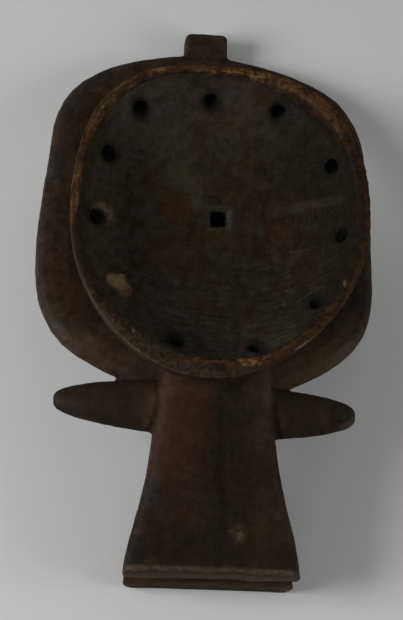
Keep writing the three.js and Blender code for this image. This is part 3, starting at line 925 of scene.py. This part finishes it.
def dish_layer(surface, colours):
    """Inside of the cap: brown wood under a grey film, laid thicker at the back and the front as painted
    light, darker at the right, partly by painted shade, with dusty tool marks.
    """
    bench = surface.bench
    x, y, z, across = surface.x, surface.y, surface.z, surface.across
    mottle, grit = surface.mottle, surface.grit
    coat = Coat(surface, colours.dish)
    film = mottle.ease(0.36, 0.6) * 0.55 + surface.clouds.ease(0.38, 0.6) * 0.45
    # Painted light: the film is laid thicker towards the back and the front of the dish.
    film = film + y.ease_mm(25, 85) * 0.3 + y.ease_mm(-20, -60) * 0.35
    coat.add(colours.film, film.least(1.0))
    coat.add(colours.stain, surface.blotch.ease(0.48, 0.64) * 0.3)
    coat.add_spots(colours.stain, DISH_STAINS)
    dark = surface.facing(5, 78) * surface.radius.ease_mm(30, 88)
    dark = (dark * 0.85).most(surface.spot((70, 44, -20), (20, 26, 30)) * 0.55)
    dark = dark.most(surface.facing(180, 60) * across.ease(-1.2, -0.2) * 0.5)
    dark = dark.most(surface.spot((50, -42, -28), (34, 24, 30), soft=0.6) * 0.3)
    coat.add(colours.grime_and_shade, dark)
    # Painted shade: the right of the dish is darkened.
    coat.tint(RIGHT_DISH_SHADE, x.ease_mm(-70, 20) * y.ease_mm(84, 44) * y.ease_mm(-84, -50))
    upper_left = surface.facing(120, 22) * across.ease(-1.5, -0.6) * (0.35 + 0.65 * grit)
    coat.add(bench.tinted(colours.pale_dust, GREEN_DUST), upper_left)
    lower_left = surface.facing(-108, 30) * across.ease(-0.5, -0.15) * grit.ease(0.36, 0.52)
    coat.add(colours.pale_dust, lower_left * 0.7)

    # Dust lies on the ridges between the gouge marks and shade in their beds.
    ring = hypotenuse(x, y - GOUGE_CENTRE_Y)
    arcs = bench.noise(bench.joined(ring, x * 0.06, z * 0.2), 1.5 * MM, 1.0, 0.5, shift=21.0)
    low = y.ease_mm(0, -40) * surface.clouds.ease(0.3, 0.55)
    combed = bench.joined(x + y * GOUGE_SLANT, y * 0.08, z * 0.2)
    combed = bench.noise(combed, 1.3 * MM, 1.0, 0.5, shift=25.0)
    right = surface.spot((68, 2, -22), (18, 20, 40))
    dust_lines = arcs.ease(0.5, 0.68) * low * 0.4 + combed.ease(0.52, 0.7) * right * 0.12
    dust_lines = dust_lines + surface.scratches(14, 62, 31.0) * 0.3
    dust_lines = (dust_lines + surface.scratches(12, -38, 35.0) * 0.25).least(1.0)
    coat.add(colours.pale_dust, dust_lines * mottle.ease(0.36, 0.6) * 0.8)
    shade_lines = arcs.ease(0.46, 0.32) * low * 0.4 + combed.ease(0.46, 0.32) * right * 0.25
    coat.add(colours.grime_and_shade, shade_lines.least(1.0))
    for start, end, width, share in DISH_SCRATCHES:
        coat.add(colours.pale_dust, surface.stroke(start, end, width) * share)

    side = (x - CROWN_HOLE_AT[0]).size().most((y - CROWN_HOLE_AT[1]).size())
    arris = side.ease_mm(9.8, 7.2) * grit.ease(0.3, 0.5)
    coat.add(bench.tinted(colours.pale_dust, ARRIS_DUST), arris * 0.8)
    coat.add(colours.hole, side.ease_mm(5.8, 4.4) * 0.85)
    coat.add(colours.grime_and_shade, surface.mouths * grit.ease(0.62, 0.4) * 0.45)
    coat.add(colours.pale_dust, surface.mouths * grit.ease(0.54, 0.66) * 0.5)
    coat.add(colours.hole, surface.halos * (0.8 + 0.2 * grit.ease(0.6, 0.42)))

    # Bare wood shows in a crescent at the left and in a patch in front of it.
    jagged = surface.ragged * 0.6 + (surface.fleck - 0.5) * 0.7
    crescent = bench.spot(surface.own, (-74.0, 8.8, -21), (7.4, 7.2, 14), jagged, 0.4)
    crescent = crescent * (1 - bench.spot(surface.own, (-77.2, 5.4, -20), (6.4, 7.0, 16), jagged, 0.3))
    coat.add(bench.tinted(colours.bare, DULL_BARE), crescent * (0.25 + 0.45 * grit.ease(0.34, 0.6)))
    patch = Value(bench, 0.0)
    for middle, reach, share in DISH_PATCH:
        patch = patch.most(bench.spot(surface.own, middle, reach, jagged * 0.7, 0.44) * share)
    coat.add(colours.golden, patch.ease(0.0, 0.5) * 0.5)
    pale = patch.ease(0.3, 1.0) * (0.4 + 0.8 * mottle).least(1.0)
    coat.add(bench.tinted(colours.bare, TAN_BARE), pale)
    browner = bench.spot(surface.own, (-57.0, -43.6, -24), (5.5, 5.0, 14), soft=0.8) * patch.ease(0.1, 0.6)
    coat.add(bench.scaled(colours.handled, 1.1), browner * 0.95)
    return coat.colour


def lip_layer(surface, colours):
    """Lip of the cap: dark brown, rubbed golden brown where hands and floor touch it."""
    bench = surface.bench
    mottle, grit, streaks, across = surface.mottle, surface.grit, surface.streaks, surface.across
    golden = Value(bench, 0.0)
    for degrees, reach, middle, spread, share in GOLDEN_STRETCHES:
        golden = golden.most(surface.facing(degrees, reach) * surface.band(middle, spread) * share)
    uneven = streaks * 0.45 + mottle * 0.3 + surface.tint * 0.25
    golden = (golden * (0.42 + uneven.ease(0.4, 0.58))).least(1.0)
    coat = Coat(surface, colours.lip_shade)
    coat.add(colours.rubbed, golden)
    rust = bench.scaled(colours.red_wood, 1.35)
    rusty = surface.tint.ease(0.48, 0.6) * 0.25 + surface.facing(-104, 26) * 0.2
    coat.add(rust, rusty * (0.35 + 0.65 * golden))
    right_top = surface.facing(48, 30)
    coat.add(colours.rubbed, right_top * golden * 0.5)
    bright = golden * golden * (streaks * 0.35 + grit * 0.35 + surface.fleck * 0.3).ease(0.46, 0.58)
    brighter = surface.facing(-76, 22).most(surface.facing(98, 46)).most(0.35)
    coat.add(colours.golden, bright * brighter * (1 - 0.8 * right_top))

    grime = 0.55 - 0.3 * golden
    coat.add(colours.grime_and_shade, grit.ease(0.48, 0.36) * grime)
    coat.add(colours.grime_and_shade, streaks.ease(0.46, 0.32) * grime)
    bites = (across + (mottle - 0.5) * 2.6).ease(0.2, -0.1)
    inner_shade = surface.band(-0.15, 0.4) * (1 - 0.7 * golden) * 0.5 + bites * 0.45
    coat.add(colours.grime_and_shade, (inner_shade + surface.facing(16, 40) * 0.3).least(0.9))
    lower_left = surface.facing(-146, 38) * across.ease(0.8, 0.45)
    coat.add(colours.grime_and_shade, lower_left * 0.5)
    specks = mottle * 0.5 + grit * 0.5
    coat.add(colours.hole, lower_left * specks.ease(0.53, 0.6) * 0.55)
    coat.add(rust, lower_left * specks.ease(0.47, 0.41) * 0.55)
    speckle = (surface.fleck * 0.6 + grit * 0.4).ease(0.38, 0.62)
    grey = bench.blend(bench.tinted(colours.lip_shade, GREY_LIP), colours.pale_dust, 0.48 * speckle)
    coat.add(grey, surface.torn_across(0.4).ease(0.4, 0.6) * surface.facing(-112, 46))
    # Painted highlight: pale glint flecks on the rubbed lip in front.
    flecks = surface.band(0.35, 0.45) * surface.facing(-77, 8) * grit.ease(0.46, 0.58)
    coat.add(bench.tinted(colours.painted_glint, YELLOW_GLINT), flecks * 0.8)
    return coat.colour


def lip_place(surface):
    """Where the lip's layer shows: eaten away at the lower left, and spilt into the dish at the right."""
    share = (surface.lip + surface.ragged * 0.5 * surface.lip).ease(0.08, 0.35)
    eaten = surface.torn_across(0.9).ease(0.55, 0.15) * surface.facing(-142, 50)
    slope = surface.torn_across(0.5).ease(-0.75, -0.35) * surface.facing(-14, 46)
    spilt = surface.torn_across(0.55).ease(-0.42, -0.26) * surface.facing(50, 24)
    share = share * (1 - eaten * 0.8)
    return share.most(slope * 0.75 * surface.hollow).most(spilt * surface.hollow)


def whole_colour(surface, colours, glint_and_polish):
    """The three layers joined, with what goes over all of them."""
    bench, grit = surface.bench, surface.grit
    coat = Coat(surface, patina_layer(surface, colours))
    rim_inside = surface.across.ease(0.85, 0.6) * surface.z.ease_mm(-12, -8)
    coat.add(dish_layer(surface, colours), surface.hollow.ease(0.0, 0.3).most(rim_inside))
    coat.add(lip_layer(surface, colours), lip_place(surface))

    # At the lower left the lip's inner arris is worn away, so its colour and the dish's are mixed.
    torn = surface.torn_across(0.7)
    mixed = torn.ease(-0.7, -0.15) * torn.ease(0.85, 0.5) * surface.facing(-136, 46)
    mixed = mixed * surface.z.ease_mm(-18, -10)
    specks = grit * 0.4 + surface.fleck * 0.3 + surface.mottle * 0.3
    coat.add(bench.tinted(colours.rubbed, RUSTY_SPECKS), mixed * specks.ease(0.49, 0.58) * 0.75)
    coat.add(colours.hole, mixed * specks.ease(0.49, 0.41) * 0.7)
    drift = surface.tint * 0.45 + surface.blotch * 0.55
    coat.tint(GREENER, drift.ease(0.5, 0.6))
    coat.tint(REDDER, drift.ease(0.48, 0.38))
    coat.add_spots(colours.bare, LIP_NICKS)

    # Painted highlight: the outer arris of the lip is a thin light line, and in front at the right it has a
    # brighter painted glint, which a clear coat also polishes.
    light = surface.outer_arris(0.99, 0.13) * (0.35 + 0.65 * grit.ease(0.34, 0.54))
    light = light * surface.facing(-152, 96).most(surface.facing(-35, 44) * 0.5)
    coat.add(colours.handled, light * 0.85)
    coat.add(bench.scaled(colours.painted_glint, 1.35), glint_and_polish)
    coat.add(colours.grime_and_shade, surface.sunk * 0.15)
    tone = 0.66 + 0.12 * surface.grain.ease(0.35, 0.65) + 0.26 * grit.ease(0.32, 0.68)
    coat.colour = bench.scaled(coat.colour, tone + 0.24 * surface.mottle.ease(0.34, 0.66))
    coat.add(colours.hole, surface.bore)
    return bench.scaled(coat.colour, 1 - surface.bore * 0.35)


def carved_wood(colours):
    """The whole finish of the carving."""
    material = bpy.data.materials.new("carved_wood")
    material.use_nodes = True
    material.node_tree.nodes.clear()
    bench = Bench(material.node_tree)
    surface = Surface(bench)
    # The painted glint on the lip's outer arris in front at the right; it also thickens the clear coat
    # there.
    glint_and_polish = surface.outer_arris(0.96, 0.2) * surface.facing(-57, 10) * surface.grit.ease(0.34, 0.48)
    colour = whole_colour(surface, colours, glint_and_polish)
    rough = 0.6 + 0.16 * surface.mottle + 0.12 * surface.hollow - 0.08 * surface.worn + 0.1 * surface.sunk
    height = surface.grain * 0.35 + surface.grit * 0.5 + surface.mottle * 0.8 + surface.fleck * 0.3
    bump = bench.node("ShaderNodeBump", inputs={
        "Strength": BUMP_STRENGTH, "Distance": BUMP_DISTANCE, "Height": height})
    outward = 1 - (surface.hollow + surface.lip * surface.across.ease(0.8, 0.4)).least(1.0)
    polish = surface.worn * outward * surface.z.ease_mm(-6, -14) * 0.05 + glint_and_polish * 0.3
    shader = bench.node("ShaderNodeBsdfPrincipled", inputs={
        "Base Color": colour, "Roughness": rough, "Specular IOR Level": WOOD_SHINE,
        "Coat Weight": polish.least(1.0), "Coat Roughness": POLISH_ROUGHNESS, "Normal": bump.outputs[0]})
    bench.node("ShaderNodeOutputMaterial", inputs={"Surface": shader.outputs[0]})
    return material


class CREST_OT_carve(bpy.types.Operator):
    """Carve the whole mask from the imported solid, with its tool marks, wear and chips"""

    bl_idname = "crest.carve"
    bl_label = "Carve the mask"

    def execute(self, context):
        sizes = context.scene.crest_sizes
        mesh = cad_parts["crest_mask"].data.copy()
        shell = bmesh.new()
        shell.from_mesh(mesh)
        bmesh.ops.remove_doubles(shell, verts=shell.verts, dist=JOINING_DISTANCE)
        shell.to_mesh(mesh)
        shell.free()
        mesh.materials.clear()
        mask = bpy.data.objects.new("carved_mask", mesh)
        context.scene.collection.objects.link(mask)

        fine = mask.modifiers.new("fine", "REMESH")
        fine.mode = "VOXEL"
        fine.voxel_size = sizes.fineness
        mesh = evaluated(mask)
        soften(mesh, sizes.softening)
        wear_by_hand(mesh, sizes)
        mark_regions(mesh)

        relief = mask.modifiers.new("relief", "NODES")
        relief.node_group = relief_tree(carved_wood(context.scene.crest_colours))
        values = dict(zip(RELIEF_INPUTS, (
            sizes.adze_depth, sizes.adze_breadth, ADZE_LENGTH * sizes.adze_breadth,
            sizes.gouge_depth, sizes.gouge_spacing, sizes.unevenness, RELIEF_SEED)))
        for socket in relief.node_group.interface.items_tree:
            if socket.name in values:
                relief[socket.identifier] = values[socket.name]
        mesh = evaluated(mask)

        lighter = mask.modifiers.new("lighter", "DECIMATE")
        lighter.ratio = min(1.0, sizes.triangles / (2 * len(mesh.polygons)))
        lighter.use_collapse_triangulate = True
        mesh = evaluated(mask)
        mesh.name = "carved_mask"
        mesh.shade_smooth()
        mark_regions(mesh)
        mark_wear(mesh)
        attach(mask, "root")
        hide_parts("crest_mask")
        return {"FINISHED"}


class CREST_OT_stage(bpy.types.Operator):
    """Lay the pale floor and set the soft light and the camera"""

    bl_idname = "crest.stage"
    bl_label = "Set the stage"

    def execute(self, context):
        settings = context.scene.crest_stage
        scene = context.scene
        plane = bpy.data.meshes.new("floor")
        corners = [(x * FLOOR_HALF, y * FLOOR_HALF, 0) for x, y in ((-1, -1), (1, -1), (1, 1), (-1, 1))]
        plane.from_pydata(corners, [], [(0, 1, 2, 3)])
        floor = bpy.data.objects.new("floor", plane)
        scene.collection.objects.link(floor)
        pale = bpy.data.materials.new("pale_floor")
        pale.use_nodes = True
        coat = pale.node_tree.nodes["Principled BSDF"]
        shade = settings.floor_shade
        coat.inputs["Base Color"].default_value = (*(shade * channel for channel in FLOOR_TINT), 1)
        coat.inputs["Roughness"].default_value = FLOOR_ROUGHNESS
        coat.inputs["Specular IOR Level"].default_value = FLOOR_SHINE
        plane.materials.append(pale)
        floor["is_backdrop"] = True

        for name, power, place in (
            ("key", settings.key_power, KEY_PLACE),
            ("side", settings.side_power, SIDE_PLACE),
        ):
            light = bpy.data.lights.new(name, "AREA")
            light.shape = "SQUARE"
            light.size = LAMP_SIZE
            light.energy = power
            lamp = bpy.data.objects.new(name, light)
            scene.collection.objects.link(lamp)
            lamp.location = place
            lamp.rotation_euler = (LAMPS_AIM - lamp.location).to_track_quat("-Z", "Y").to_euler()
        world = bpy.data.worlds.new("studio")
        world.use_nodes = True
        background = world.node_tree.nodes["Background"]
        background.inputs[0].default_value = (1, 1, 1, 1)
        background.inputs[1].default_value = settings.fill
        scene.world = world
        scene.view_settings.view_transform = "Standard"
        scene.camera = photo_camera(scene)
        return {"FINISHED"}


def photo_camera(scene):
    """The camera at the photograph's angle, worked out in the carving's own frame."""
    back = Vector((-tan(VIEW_FROM_LEFT), -tan(VIEW_FROM_FRONT), 1)).normalized()
    up = Vector((0, 1, 0))
    up = (up - up.dot(back) * back).normalized()
    side = up.cross(back)
    side, up = side * cos(VIEW_ROLL) + up * sin(VIEW_ROLL), up * cos(VIEW_ROLL) - side * sin(VIEW_ROLL)
    pixels = PIXELS_PER_METRE * VIEW_DISTANCE
    right = (LIP_PIXEL[0] - FRAME_WIDE / 2) / pixels
    down = (LIP_PIXEL[1] - FRAME_HIGH / 2) / pixels
    place = VIEW_DISTANCE * (back - right * side + down * up)
    lens = bpy.data.cameras.new("camera")
    lens.sensor_fit = "VERTICAL"
    lens.sensor_height = SENSOR_HIGH
    lens.lens = pixels * SENSOR_HIGH / FRAME_HIGH
    camera = bpy.data.objects.new("camera", lens)
    scene.collection.objects.link(camera)
    turned = Matrix((LYING @ side, LYING @ up, LYING @ back)).transposed()
    camera.matrix_world = Matrix.Translation(LYING @ place + LIP_CENTRE) @ turned.to_4x4()
    return camera


class CREST_PT_panel(bpy.types.Panel):
    """Lists what makes the mask and its stage"""

    bl_idname = "CREST_PT_panel"
    bl_label = "Crest mask"
    bl_space_type = "VIEW_3D"
    bl_region_type = "UI"
    bl_category = "Crest Mask"

    def draw(self, context):
        for group in (context.scene.crest_sizes, context.scene.crest_colours, context.scene.crest_stage):
            for name in group.__annotations__:
                self.layout.prop(group, name)
        for operator in (CREST_OT_carve, CREST_OT_stage):
            self.layout.operator(operator.bl_idname)


CLASSES = (CarvingSizes, PatinaColours, StageSettings, CREST_OT_carve, CREST_OT_stage, CREST_PT_panel)


def register():
    for one in CLASSES:
        bpy.utils.register_class(one)
    bpy.types.Scene.crest_sizes = bpy.props.PointerProperty(type=CarvingSizes)
    bpy.types.Scene.crest_colours = bpy.props.PointerProperty(type=PatinaColours)
    bpy.types.Scene.crest_stage = bpy.props.PointerProperty(type=StageSettings)


def unregister():
    del bpy.types.Scene.crest_stage
    del bpy.types.Scene.crest_colours
    del bpy.types.Scene.crest_sizes
    for one in reversed(CLASSES):
        bpy.utils.unregister_class(one)


def main():
    register()
    bpy.ops.crest.carve()
    bpy.ops.crest.stage()
    boxes = {"cad": CAD_BOX, "visual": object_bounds()}
    boxes = {name: [[float(value) for value in corner] for corner in box] for name, box in boxes.items()}


if __name__ == "__main__":
    main()
